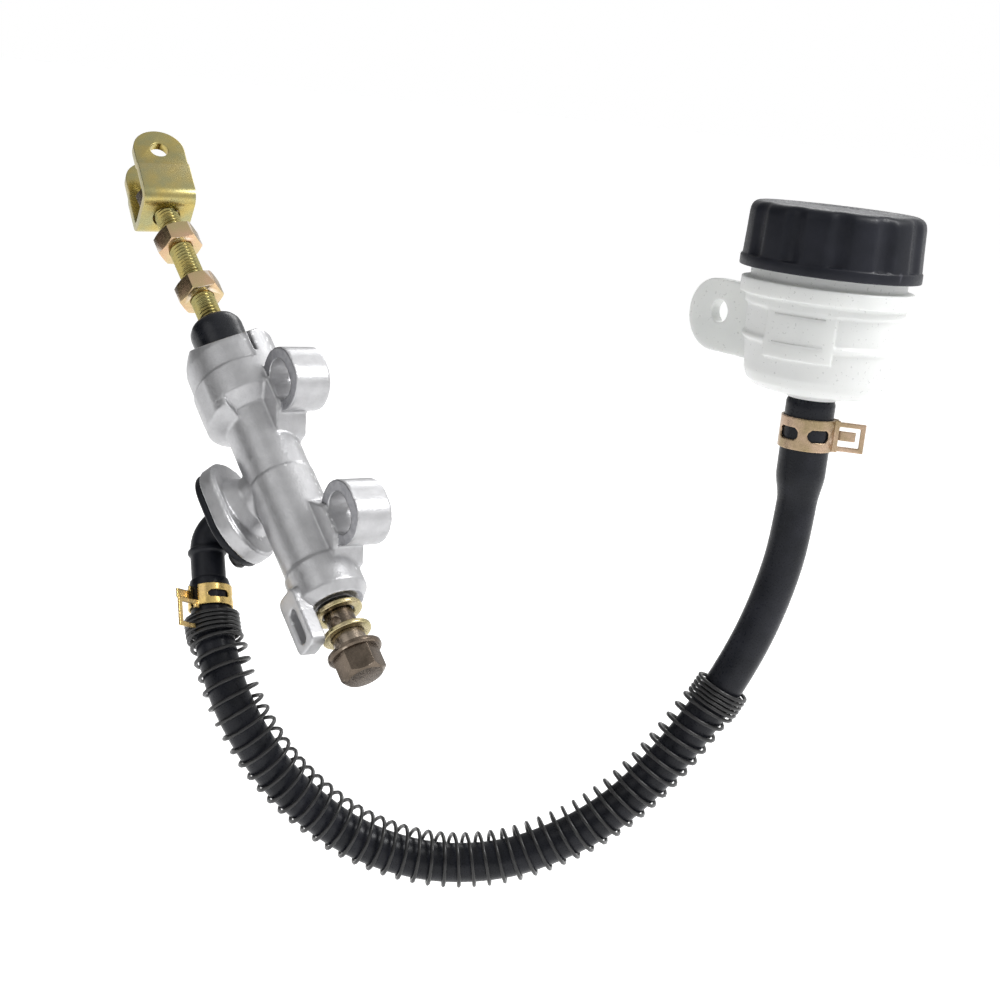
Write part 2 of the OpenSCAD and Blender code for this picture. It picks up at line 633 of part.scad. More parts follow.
module banjo_bolt() color([0.35, 0.3, 0.27]) on_axis() difference() {
    union() {
        translate([0, 0, flange_face_z - eps]) cylinder(r = bolt_r, h = 24);
        translate([0, 0, flange_face_z + 24 - 2 * eps]) cylinder(r1 = bolt_r, r2 = 4, h = 1);
        translate([0, 0, flange_face_z - 1.6]) rotate_extrude() polygon([
            [0, 0], [7.6, 0], [8.2, 0.6], [8.2, 1.6], [0, 1.6]]);
        translate([0, 0, flange_face_z - 9]) intersection() {
            hex(12, 8);
            rotate_extrude() polygon([[0, 0], [5.4, 0], [7.2, 1.4], [7.2, 8], [0, 8]]);
        }
    }
    translate([0, 0, flange_face_z + 6]) cylinder(r = 1.8, h = 20);
    translate([0, 0, flange_face_z + 9]) rotate([90, 0, 30]) cylinder(r = 1.6, h = 20, center = true);
}

module seal(z) on_axis() translate([0, 0, z - seal_t / 2]) rotate_extrude() polygon([
    [port_r, 0.2], [port_r + 0.3, 0], [washer_r - 0.3, 0], [washer_r, 0.3],
    [washer_r, seal_t - 0.3], [washer_r - 0.3, seal_t], [port_r + 0.3, seal_t],
    [port_r, seal_t - 0.2]]);

module inner_washer() color("khaki") seal(inner_washer_z);

module outer_washer() color("khaki") seal(outer_washer_z);

cylinder_housing();
piston();
primary_cup();
secondary_cup();
spring_seat();
return_spring();
stop_washer();
snap_ring();
dust_boot();
pushrod();
adjuster_nut();
lock_nut();
clevis_nut();
clevis();
inlet_elbow();
inlet_o_ring();
inlet_screws();
feed_hose();
spring_guard();
lower_hose_clamp();
upper_hose_clamp();
reservoir_body();
diaphragm();
slip_ring();
reservoir_cap();
banjo_bolt();
inner_washer();
outer_washer();
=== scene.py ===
import math
import bpy
import bmesh
from mathutils import Matrix, Vector


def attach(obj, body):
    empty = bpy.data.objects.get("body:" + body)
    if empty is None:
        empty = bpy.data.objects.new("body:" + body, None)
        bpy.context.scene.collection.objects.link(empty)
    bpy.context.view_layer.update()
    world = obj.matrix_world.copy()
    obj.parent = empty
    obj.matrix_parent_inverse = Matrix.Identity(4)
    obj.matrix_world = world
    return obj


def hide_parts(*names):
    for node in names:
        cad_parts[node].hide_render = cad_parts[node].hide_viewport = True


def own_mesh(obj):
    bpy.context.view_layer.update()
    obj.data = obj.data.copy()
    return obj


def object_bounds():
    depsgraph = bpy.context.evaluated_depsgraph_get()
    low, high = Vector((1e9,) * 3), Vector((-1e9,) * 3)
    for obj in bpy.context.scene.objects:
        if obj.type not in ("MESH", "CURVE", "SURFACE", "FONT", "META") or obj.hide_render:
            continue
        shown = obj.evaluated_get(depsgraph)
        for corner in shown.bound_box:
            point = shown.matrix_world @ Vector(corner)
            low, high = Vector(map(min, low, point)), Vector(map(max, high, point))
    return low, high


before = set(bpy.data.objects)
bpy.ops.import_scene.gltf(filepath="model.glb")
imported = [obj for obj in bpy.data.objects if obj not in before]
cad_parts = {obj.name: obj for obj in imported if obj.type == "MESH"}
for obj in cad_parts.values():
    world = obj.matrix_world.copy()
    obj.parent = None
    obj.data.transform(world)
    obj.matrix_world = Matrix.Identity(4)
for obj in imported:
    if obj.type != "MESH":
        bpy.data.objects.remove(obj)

CAD_BOX = [list(corner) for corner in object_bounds()]

# ---------- sizes and places, in millimetres unless named otherwise ----------

MM = 0.001
TILT = 50                      # lean of the cylinder axis, degrees
AXIS_OFF = 20
AXIS_BACK = 11.6

BORE_END = -31                 # heights along the cylinder axis
SPRING_TOP = -6.1
SPRING_R = 4.5                 # to the middle of the return spring's wire
SPRING_WIRE = 0.55
SPRING_TURNS = 7
SPRING_TURN_STEPS = 24
MOUTH_LOW = 49
BOOT_TOP = 64.5
BOOT_R = 8.5
ROD_R = 3.95
ROD_LOW = 57
ROD_TOP = 122
ROD_PITCH = 1.25
BOLT_R = 4.95
BOLT_FACE = -59.6
BOLT_TIP = -34.6
BOLT_HOLE = -50.6              # middle of its cross hole
BOLT_WAIST_R = 4.35
BOLT_DRILL_R = 1.6
BOLT_DRILL_TURN = 30
LUG_T = 12                     # lugs, from their front face to the mounting face
PORT_Z = -44.5                 # outlet face
FACE_NEAR = 0.5                # how near to such a face counts as machined

INLET_TURN = 210               # direction of the inlet flange, degrees
INLET_Z = 1
FLANGE_OUT = 19.8
PLATE_L, PLATE_W, PLATE_T = 33, 24, 2.5
ELBOW_R = 5.2
ELBOW_RISE = 7.37
ELBOW_LEAN = 71
ELBOW_TAIL = 14.83
BARB = 12

RES_X, RES_Y = 86, 106         # the reservoir's axis
RES_R = 22.5
CAP_Z = 66.4
CAP_R = 26.5
CAP_H = 19
CAP_IN_R = 24
FLUTES = 12
PANEL_FROM, PANEL_TO = -88, -42
LEVELS = (46.5, 54.5)

HOSE_R = 6
SWELL_R = 7.4
SWELL_Z = 4
GUARD_R = 7.9                  # to the middle of the guard's wire
GUARD_WIRE = 0.6
GUARD_PITCH = 4.4
GUARD_END_PITCH = 1.4
GUARD_END = 6                  # length of the closed coils at each end
GUARD_LEAN = 0.9               # how far the guard sits inside the bend
GUARD_FROM, GUARD_TO = 1, 15   # between these points of the route
GUARD_TURN_STEPS = 22          # points in one turn of its wire

CLAMP_STRIP = 0.7              # thickness of both clamps' strip
LOWER_CLAMP_Z, LOWER_CLAMP_TURN = 2.6, 100
UPPER_CLAMP_Z, UPPER_CLAMP_TURN = 14.5, 45

LENS = 68.4                    # camera, in millimetres and metres
SENSOR = 36
CAMERA_AT = Vector((0.4627, -0.3141, 0.1056))
CAMERA_RIGHT = Vector((0.6091, 0.7853, 0.1107))
CAMERA_BACK = Vector((0.7593, -0.6174, 0.2061))
FLOOR_GAP = 0.02               # from the lowest point down to the floor
FLOOR_SIZE = 30.0

HOSE_ROUTE = [Vector(p) for p in (
    (-22.1, -28.8, -46.6), (-16.2, -30.5, -55.8), (-8.5, -31.8, -65.5),
    (-1, -30.5, -77), (4.5, -25.5, -88.5), (9, -18, -99.5), (14, -8, -109.5),
    (20, 3, -117.5), (27, 16, -123), (35, 30, -125), (44, 45, -122.5),
    (52.5, 58.5, -115.5), (60, 69.5, -106), (66.5, 79, -93.5),
    (72.5, 87, -78.5), (78, 94.5, -61), (82.5, 100.5, -42),
    (85.2, 104.6, -22), (86, 106, -4), (86, 106, 8), (86, 106, 19),
    (86, 106, 29.5))]

TO_METRES = Matrix.Scale(MM, 4)
ON_AXIS = (TO_METRES @ Matrix.Rotation(math.radians(-TILT), 4, "Y")
           @ Matrix.Translation((-AXIS_OFF, -AXIS_BACK, 0)))
AT_INLET = (ON_AXIS @ Matrix.Rotation(math.radians(INLET_TURN), 4, "Z")
            @ Matrix.Translation((FLANGE_OUT, 0, INLET_Z))
            @ Matrix.Rotation(math.radians(90), 4, "Y"))
AT_ELBOW = (AT_INLET @ Matrix.Translation((0, 0, PLATE_T + ELBOW_RISE))
            @ Matrix.Rotation(math.radians(ELBOW_LEAN), 4, "Y"))
AT_RESERVOIR = TO_METRES @ Matrix.Translation((RES_X, RES_Y, 0))
AXIS_DIR = (ON_AXIS.to_3x3() @ Vector((0, 0, 1))).normalized()


# ---------- camera ----------

def make_camera():
    """The photograph's view: a long lens, a little above the cylinder."""
    right = CAMERA_RIGHT.normalized()
    back = (CAMERA_BACK - right * CAMERA_BACK.dot(right)).normalized()
    up = back.cross(right)
    data = bpy.data.cameras.new("camera")
    data.sensor_width = SENSOR
    data.lens = LENS
    data.clip_start = 0.01
    camera = bpy.data.objects.new("camera", data)
    camera.matrix_world = Matrix.Translation(CAMERA_AT) @ Matrix(
        (right, up, back)).transposed().to_4x4()
    bpy.context.scene.collection.objects.link(camera)
    bpy.context.scene.camera = camera
    return right, up, back


VIEW_RIGHT, VIEW_UP, VIEW_BACK = make_camera()


# ---------- materials ----------

def surface(name, base, tint, rough, metallic=0.0, patch=90, grain=1600, bump=0.25,
            depth=0.00005, swing=0.1, edge_highlight=None, edge_highlight_from=0.53, **fixed):
    """Principled surface. Its colour drifts from base to tint in soft patches, a fine grain moves
    its height and gloss, and its convex edges are painted lighter, a painted highlight."""
    mat = bpy.data.materials.new(name)
    mat.use_nodes = True
    nodes, links = mat.node_tree.nodes, mat.node_tree.links
    shader = nodes["Principled BSDF"]
    shader.inputs["Metallic"].default_value = metallic
    for socket, value in fixed.items():
        shader.inputs[socket.replace("_", " ")].default_value = value
    coord = nodes.new("ShaderNodeTexCoord")

    def noise(scale, detail):
        node = nodes.new("ShaderNodeTexNoise")
        node.inputs["Scale"].default_value = scale
        node.inputs["Detail"].default_value = detail
        links.new(coord.outputs["Object"], node.inputs["Vector"])
        return node.outputs["Fac"]

    def ramp(value, low, high, first, last):
        node = nodes.new("ShaderNodeValToRGB")
        node.color_ramp.elements[0].position = low
        node.color_ramp.elements[1].position = high
        node.color_ramp.elements[0].color = (*first, 1)
        node.color_ramp.elements[1].color = (*last, 1)
        links.new(value, node.inputs["Fac"])
        return node.outputs["Color"]

    patches = noise(patch, 4)
    fine = noise(grain, 3)
    colour = ramp(patches, 0.35, 0.65, base, tint)
    # painted highlight: convex edges, found by pointiness, are mixed towards a lighter colour
    if edge_highlight:
        geometry = nodes.new("ShaderNodeNewGeometry")
        edge = ramp(geometry.outputs["Pointiness"], edge_highlight_from, edge_highlight_from + 0.06,
                    (0, 0, 0), (1, 1, 1))
        mix = nodes.new("ShaderNodeMix")
        mix.data_type = "RGBA"
        links.new(edge, mix.inputs["Factor"])
        links.new(colour, mix.inputs["A"])
        mix.inputs["B"].default_value = (*edge_highlight, 1)
        colour = mix.outputs["Result"]
    links.new(colour, shader.inputs["Base Color"])
    gloss = nodes.new("ShaderNodeMapRange")
    gloss.inputs["From Min"].default_value = 0.3
    gloss.inputs["From Max"].default_value = 0.7
    gloss.inputs["To Min"].default_value = max(0.02, rough - swing)
    gloss.inputs["To Max"].default_value = min(1, rough + swing)
    links.new(fine, gloss.inputs["Value"])
    links.new(gloss.outputs["Result"], shader.inputs["Roughness"])
    relief = nodes.new("ShaderNodeBump")
    relief.inputs["Strength"].default_value = bump
    relief.inputs["Distance"].default_value = depth
    links.new(fine, relief.inputs["Height"])
    links.new(relief.outputs["Normal"], shader.inputs["Normal"])
    return mat


# the lighter edge colours passed to the materials below are painted highlights along convex edges
CAST = surface("cast_aluminium", (0.45, 0.45, 0.46), (0.50, 0.50, 0.51), 0.4,
               metallic=0.75, patch=300, grain=1500, bump=0.7, depth=0.00009,
               edge_highlight=(0.72, 0.72, 0.73))
# machined faces, darker than the casting: partly their own finish, partly painted shade on the
# lugs' front faces
SHADED_MACHINED = surface("machined_aluminium_painted_shade", (0.24, 0.24, 0.255), (0.32, 0.32, 0.335), 0.34,
                   metallic=1.0, patch=500, grain=2500, bump=0.15)
PISTON_METAL = surface("piston_aluminium", (0.62, 0.48, 0.2), (0.7, 0.56, 0.28), 0.28,
                       metallic=1.0)
YELLOW_ZINC = surface("yellow_zinc", (0.48, 0.38, 0.13), (0.36, 0.34, 0.17), 0.27,
                      metallic=1.0, patch=160, swing=0.04, grain=1200, bump=0.05,
                      edge_highlight=(0.85, 0.76, 0.5))
ROD_ZINC = surface("rod_zinc", (0.36, 0.29, 0.10), (0.27, 0.25, 0.11), 0.26,
                   metallic=1.0, patch=220, swing=0.04, grain=1800, bump=0.05)
PINK_ZINC = surface("pink_zinc", (0.62, 0.40, 0.26), (0.52, 0.42, 0.22), 0.25,
                    metallic=1.0, patch=110, swing=0.04, grain=1300, bump=0.05,
                    edge_highlight=(0.9, 0.78, 0.66))
GOLD_CLAMP = surface("gold_clamp", (0.74, 0.54, 0.18), (0.62, 0.44, 0.2), 0.27,
                     metallic=1.0, patch=140, grain=1500, bump=0.06)
BRONZE_CLAMP = surface("bronze_clamp", (0.34, 0.26, 0.15), (0.5, 0.36, 0.26), 0.3,
                       metallic=1.0, patch=150, grain=1500, bump=0.06)
BOLT_METAL = surface("bronze_steel", (0.10, 0.08, 0.062), (0.17, 0.135, 0.105), 0.3,
                     metallic=1.0, patch=200, grain=1600, bump=0.1,
                     edge_highlight=(0.36, 0.30, 0.24))
OLIVE_METAL = surface("olive_washer", (0.42, 0.37, 0.18), (0.5, 0.42, 0.26), 0.3,
                      metallic=1.0, patch=200, grain=1600, bump=0.08)
STEEL = surface("spring_steel", (0.5, 0.5, 0.52), (0.42, 0.42, 0.45), 0.3, metallic=1.0)
BLACK_STEEL = surface("black_steel", (0.03, 0.03, 0.032), (0.05, 0.05, 0.05), 0.4,
                      metallic=0.7, edge_highlight=(0.2, 0.2, 0.2))
BOOT_RUBBER = surface("boot_rubber", (0.006, 0.007, 0.010), (0.011, 0.012, 0.016), 0.28,
                      patch=200, grain=900, bump=0.12, Specular_IOR_Level=0.3)
SEAL_RUBBER = surface("seal_rubber", (0.012, 0.012, 0.012), (0.02, 0.02, 0.02), 0.5)
HOSE_RUBBER = surface("hose_rubber", (0.006, 0.007, 0.010), (0.013, 0.014, 0.019), 0.32,
                      patch=120, grain=1400, bump=0.3, Specular_IOR_Level=0.2)
BLACK_PLASTIC = surface("black_plastic", (0.006, 0.007, 0.010), (0.012, 0.013, 0.018),
                        0.4, patch=180, grain=1900, bump=0.35, Specular_IOR_Level=0.22)
BLACK_WIRE = surface("black_wire", (0.010, 0.010, 0.011), (0.02, 0.02, 0.02), 0.34,
                     metallic=0.2, patch=250, grain=1500, bump=0.2)
CAP_PLASTIC = surface("cap_plastic", (0.006, 0.007, 0.011), (0.012, 0.013, 0.019), 0.4,
                      patch=90, grain=1700, bump=0.4, edge_highlight=(0.04, 0.04, 0.05),
                      Specular_IOR_Level=0.22)
MILKY = surface("milky_plastic", (0.72, 0.735, 0.725), (0.78, 0.79, 0.775), 0.36,
                patch=40, grain=900, bump=0.05, Subsurface_Weight=0.6,
                Subsurface_Scale=0.004, Subsurface_Radius=(1, 1, 0.95),
                Transmission_Weight=0.12, IOR=1.49)
NATURAL = surface("natural_plastic", (0.78, 0.78, 0.72), (0.84, 0.84, 0.79), 0.5)


# ---------- building helpers ----------

def finished(name, mesh, body, stands_for=(), smooth=35):
    """Link a mesh as a piece that rides on a body."""
    mesh.shade_smooth()
    mesh.set_sharp_from_angle(angle=math.radians(smooth))
    obj = bpy.data.objects.new(name, mesh)
    bpy.context.scene.collection.objects.link(obj)
    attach(obj, body)
    if stands_for:
        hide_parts(*stands_for)
    return obj


def piece(name, bm, matrix, material, body, stands_for=(), smooth=35):
    """Turn a bmesh drawn in millimetres into a finished piece."""
    bm.transform(matrix)
    bmesh.ops.recalc_face_normals(bm, faces=bm.faces)
    mesh = bpy.data.meshes.new(name)
    bm.to_mesh(mesh)
    bm.free()
    mesh.materials.append(material)
    return finished(name, mesh, body, stands_for, smooth)


def cad_copy(node):
    """A CAD node's mesh, joined at its edges and with its flat faces whole."""
    bm = bmesh.new()
    bm.from_mesh(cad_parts[node].data)
    bmesh.ops.remove_doubles(bm, verts=bm.verts, dist=MM * 0.002)
    bmesh.ops.dissolve_limit(bm, angle_limit=math.radians(0.5), verts=bm.verts,
                             edges=bm.edges)
    for face in bm.faces:
        face.material_index = 0
    return bm


def modified(obj):
    """Apply an object's modifiers to its mesh."""
    graph = bpy.context.evaluated_depsgraph_get()
    mesh = bpy.data.meshes.new_from_object(obj.evaluated_get(graph))
    obj.modifiers.clear()
    old, obj.data = obj.data, mesh
    bpy.data.meshes.remove(old)


def broken_edges(node, body, material, width, segments=3, cut=None):
    """A CAD node with its sharp edges rounded, as filed or pressed metal has."""
    bm = cad_copy(node)
    if cut:
        bmesh.ops.bisect_plane(bm, geom=bm.verts[:] + bm.edges[:] + bm.faces[:],
                               plane_co=cut[0], plane_no=cut[1], clear_outer=True)
        bmesh.ops.holes_fill(bm, edges=[e for e in bm.edges if e.is_boundary])
    name = node + "_detail"
    mesh = bpy.data.meshes.new(name)
    bm.to_mesh(mesh)
    bm.free()
    mesh.materials.clear()
    mesh.materials.append(material)
    obj = finished(name, mesh, body, (node,))
    bevel = obj.modifiers.new("edges", "BEVEL")
    bevel.width = width * MM
    bevel.segments = segments
    bevel.limit_method = "ANGLE"
    bevel.angle_limit = math.radians(32)
    bevel.use_clamp_overlap = True
    bpy.context.view_layer.update()
    modified(obj)
    obj.data.shade_smooth()
    obj.data.set_sharp_from_angle(angle=math.radians(40))
    return obj


def moulded(obj, voxel, passes):
    """Remesh a piece finely and smooth it, so that its corners gain fillets."""
    remesh = obj.modifiers.new("remesh", "REMESH")
    remesh.mode = "VOXEL"
    remesh.voxel_size = voxel * MM
    smooth = obj.modifiers.new("smooth", "SMOOTH")
    smooth.factor = 0.5
    smooth.iterations = passes
    bpy.context.view_layer.update()
    materials = list(obj.data.materials)
    modified(obj)
    obj.data.materials.clear()
    for material in materials:
        obj.data.materials.append(material)
    obj.data.shade_smooth()


def lathe(bm, profile, sides=96, start=0.0, span=360.0):
    """Turn a closed outline of (radius, height) points about Z, all round or in part."""
    full = span >= 360
    count = sides if full else sides + 1
    rings = []
    for i in range(count):
        a = math.radians(start + span * i / sides)
        rings.append([bm.verts.new((r * math.cos(a), r * math.sin(a), z))
                      for r, z in profile])
    for i in range(sides):
        one, two = rings[i], rings[(i + 1) % count]
        for k in range(len(profile)):
            m = (k + 1) % len(profile)
            bm.faces.new((one[k], two[k], two[m], one[m]))
    if not full:
        bm.faces.new(rings[0])
        bm.faces.new(reversed(rings[-1]))
    bmesh.ops.remove_doubles(bm, verts=bm.verts, dist=0.0005)


def frames(path):
    """Tangent, normal and binormal at each point, turned as little as possible."""
    tangents = []
    for i in range(len(path)):
        a, b = path[max(i - 1, 0)], path[min(i + 1, len(path) - 1)]
        tangents.append((b - a).normalized())
    normal = tangents[0].orthogonal().normalized()
    out = []
    for t in tangents:
        normal = (normal - t * normal.dot(t)).normalized()
        out.append((t, normal, t.cross(normal)))
    return out


def sweep(bm, path, radii, sides):
    """Round tube with flat ends along a path; radii is a number or one a point."""
    if not hasattr(radii, "__len__"):
        radii = [radii] * len(path)
    rings = []
    for point, radius, (_, n, b) in zip(path, radii, frames(path)):
        rings.append([bm.verts.new(point + radius * (
            n * math.cos(2 * math.pi * k / sides) + b * math.sin(2 * math.pi * k / sides)))
            for k in range(sides)])
    for one, two in zip(rings, rings[1:]):
        for k in range(sides):
            m = (k + 1) % sides
            bm.faces.new((one[k], one[m], two[m], two[k]))
    bm.faces.new(reversed(rings[0]))
    bm.faces.new(rings[-1])


def rounded_path(points, steps=8):
    """Smooth curve through every point of a route (Catmull-Rom)."""
    out = []
    for i in range(len(points) - 1):
        a = points[i - 1] if i else 2 * points[0] - points[1]
        b, c = points[i], points[i + 1]
        d = points[i + 2] if i + 2 < len(points) else 2 * c - b
        for k in range(steps):
            t = k / steps
            out.append(0.5 * (2 * b + (c - a) * t + (2 * a - 5 * b + 4 * c - d) * t * t
                              + (3 * b - a - 3 * c + d) * t ** 3))
    out.append(points[-1].copy())
    return out


def path_length(path):
    return sum((b - a).length for a, b in zip(path, path[1:]))


def ease(x):
    x = min(max(x, 0.0), 1.0)
    return x * x * (3 - 2 * x)


def threaded(bm, radius, low, high, pitch, depth, sides=64, per_pitch=10):
    """Screw thread about Z with rounded crests, fading out at both ends."""
    rows = int((high - low) / pitch * per_pitch)
    rings = []
    for i in range(rows + 1):
        z = low + (high - low) * i / rows
        fade = ease((z - low) / pitch) * ease((high - z) / (0.8 * pitch))
        ring = []
        for k in range(sides):
            a = 2 * math.pi * k / sides
            turn = (z / pitch - k / sides) % 1.0
            dip = 0.5 + 0.5 * math.cos(2 * math.pi * turn)
            r = radius - depth * (1 - fade * (1 - dip ** 0.8))
            ring.append(bm.verts.new((r * math.cos(a), r * math.sin(a), z)))
        rings.append(ring)
    for one, two in zip(rings, rings[1:]):
        for k in range(sides):
            m = (k + 1) % sides
            bm.faces.new((one[k], one[m], two[m], two[k]))
    bm.faces.new(reversed(rings[0]))
    bm.faces.new(rings[-1])


# ---------- hose and its spring guard ----------

HOSE_PATH = rounded_path(HOSE_ROUTE)


def make_hose():
    """Rubber hose, swollen where the reservoir's spout fills it."""
    radii = []
    for i, p in enumerate(HOSE_PATH):
        swell = ease((p.z - SWELL_Z + 6) / 9) if i > len(HOSE_PATH) // 2 else 0
        barb = ease(1 - i / 8)
        radii.append(HOSE_R + (SWELL_R - HOSE_R - 0.1) * swell + 0.15 * barb)
    radii[-1] -= 0.5
    radii[0] -= 0.4
    bm = bmesh.new()
    sweep(bm, HOSE_PATH, radii, 40)
    hose = piece("hose", bm, TO_METRES, HOSE_RUBBER, "housing",
                 ("feed_hose",), smooth=50)
    return hose


def guard_path():
    """Middle line of the guard's wire: open coils with closed ones at both ends."""
    steps = len(HOSE_PATH) - 1
    first = steps * GUARD_FROM // (len(HOSE_ROUTE) - 1)
    last = steps * GUARD_TO // (len(HOSE_ROUTE) - 1)
    line = HOSE_PATH[first:last + 1]
    total = path_length(line)
    middle = sum(line, Vector()) / len(line) + Vector((0, 0, 40))
    spine = list(zip(line, frames(line)))
    along = [0.0]
    for a, b in zip(line, line[1:]):
        along.append(along[-1] + (b - a).length)
    out = []
    s, turn, k = 0.0, 0.0, 0
    while s < total:
        while k < len(along) - 2 and along[k + 1] < s:
            k += 1
        f = (s - along[k]) / (along[k + 1] - along[k])
        p = spine[k][0].lerp(spine[k + 1][0], f)
        n = spine[k][1][1].lerp(spine[k + 1][1][1], f).normalized()
        t = spine[k][1][0].lerp(spine[k + 1][1][0], f).normalized()
        b = t.cross(n)
        inward = middle - p
        inward = (inward - t * inward.dot(t)).normalized()
        near_end = min(s, total - s)
        open_part = ease((near_end - GUARD_END) / 5)
        angle = 2 * math.pi * turn
        out.append(p + inward * GUARD_LEAN * open_part + (n * math.cos(angle)
                   + b * math.sin(angle)) * GUARD_R)
        pitch = GUARD_END_PITCH + (GUARD_PITCH - GUARD_END_PITCH) * open_part
        s += pitch / GUARD_TURN_STEPS
        turn += 1 / GUARD_TURN_STEPS
    return out


def make_guard():
    bm = bmesh.new()
    sweep(bm, guard_path(), GUARD_WIRE, 7)
    return piece("guard_wire", bm, TO_METRES, BLACK_WIRE, "housing",
                 ("spring_guard",), smooth=80)


hose = make_hose()
guard = make_guard()


# ---------- cast housing ----------

def make_housing():
    """The casting with cast fillets, and machined faces where it is cut; these get a darker metal,
    which also paints the shade on the lugs' front faces.
    """
    mesh = bpy.data.meshes.new("housing_casting")
    bm = cad_copy("cylinder_housing")
    bm.to_mesh(mesh)
    bm.free()
    mesh.materials.clear()
    mesh.materials.append(CAST)
    mesh.materials.append(SHADED_MACHINED)
    obj = finished("housing_casting", mesh, "housing",
                   ("cylinder_housing",))
    moulded(obj, 0.4, 4)
    outlet = ON_AXIS @ Vector((0, 0, PORT_Z))
    front = Vector((0, -1, 0))
    for face in obj.data.polygons:
        # the lugs' front faces get the darker machined metal as painted shade
        shaded_lug_face = face.normal.dot(front) > 0.9 and abs(face.center.y + LUG_T * MM) < FACE_NEAR * MM
        back = face.normal.y > 0.9 and abs(face.center.y) < FACE_NEAR * MM
        end = face.normal.dot(AXIS_DIR) < -0.9 and (
            abs((face.center - outlet).dot(AXIS_DIR)) < FACE_NEAR * MM)
        if shaded_lug_face or back or end:
            face.material_index = 1
    return obj


make_housing()


# ---------- inside the bore ----------

def make_return_spring():
    steps = SPRING_TURNS * SPRING_TURN_STEPS
    height = SPRING_TOP - BORE_END - 2 * SPRING_WIRE
    path = []
    for i in range(steps + 1):
        a = 2 * math.pi * i / SPRING_TURN_STEPS
        z = BORE_END + SPRING_WIRE + height * i / steps
        path.append(Vector((SPRING_R * math.cos(a), SPRING_R * math.sin(a), z)))
    bm = bmesh.new()
    sweep(bm, path, SPRING_WIRE, 8)
    spring = piece("spring_wire", bm, ON_AXIS, STEEL, "housing",
                   ("return_spring",), smooth=80)
    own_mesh(spring)


make_return_spring()


def make_boot():
    """Domed rubber boot with a rolled lip round the rod and a soft shoulder."""
    lip = ROD_R + 0.12
    bm = bmesh.new()
    lathe(bm, [
        (BOOT_R - 0.15, MOUTH_LOW), (BOOT_R - 0.1, 56), (BOOT_R - 0.02, 58.5),
        (BOOT_R, 60.2), (BOOT_R - 0.25, 61.6), (BOOT_R - 0.9, 62.8),
        (BOOT_R - 1.9, 63.7), (BOOT_R - 3, 64.1), (lip + 0.75, 64.15),
        (lip + 0.6, 64.45), (lip + 0.3, BOOT_TOP), (lip + 0.05, 64.3), (lip, 63.6),
        (lip, 62.8), (lip + 1.2, 62.5), (BOOT_R - 2.2, 62.2), (BOOT_R - 1.3, 61),
        (BOOT_R - 1, 59.5), (BOOT_R - 1, MOUTH_LOW)], sides=96)
    piece("boot", bm, ON_AXIS, BOOT_RUBBER, "housing", ("dust_boot",),
          smooth=60)


make_boot()
for node, material in (("piston", PISTON_METAL), ("primary_cup", SEAL_RUBBER),
                       ("secondary_cup", SEAL_RUBBER), ("spring_seat", STEEL),
                       ("stop_washer", STEEL), ("snap_ring", BLACK_STEEL),
                       ("inlet_o_ring", SEAL_RUBBER), ("diaphragm", SEAL_RUBBER),
                       ("slip_ring", NATURAL)):
    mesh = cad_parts[node].data
    mesh.materials.clear()
    mesh.materials.append(material)


# ---------- pushrod, nuts and clevis ----------

def make_rod():
    """Ball end as drawn in CAD, with a real thread from the boot outwards."""
    broken_edges("pushrod", "rod", ROD_ZINC, 0.3,
                 cut=(ON_AXIS @ Vector((0, 0, ROD_LOW)), AXIS_DIR))
    bm = bmesh.new()
    threaded(bm, ROD_R, ROD_LOW - 1, ROD_TOP, ROD_PITCH, 0.62)
    piece("rod_thread", bm, ON_AXIS, ROD_ZINC, "rod", smooth=60)


make_rod()
broken_edges("adjuster_nut", "rod", PINK_ZINC, 0.22)
broken_edges("lock_nut", "yoke_nuts", PINK_ZINC, 0.22)
broken_edges("clevis_nut", "yoke_nuts", PINK_ZINC, 0.22)
broken_edges("clevis", "clevis", YELLOW_ZINC, 0.45, segments=4)


# ---------- inlet elbow and screws ----------

def obround(bm, length, width, low, high, edge=0.5, sides=24):
    """Plate with round ends along X and softly broken edges."""
    rings = []
    for inset, z in ((edge, low), (0, low + edge), (0, high - edge), (edge, high)):
        ring = []
        for end in (1, -1):
            for k in range(sides + 1):
                a = math.radians(-90 + 180 * k / sides) + (0 if end > 0 else math.pi)
                r = width / 2 - inset
                ring.append(bm.verts.new((end * (length - width) / 2 + r * math.cos(a),
                                          r * math.sin(a), z)))
        rings.append(ring)
    for one, two in zip(rings, rings[1:]):
        for k in range(len(one)):
            m = (k + 1) % len(one)
            bm.faces.new((one[k], one[m], two[m], two[k]))
    bm.faces.new(reversed(rings[0]))
    bm.faces.new(rings[-1])


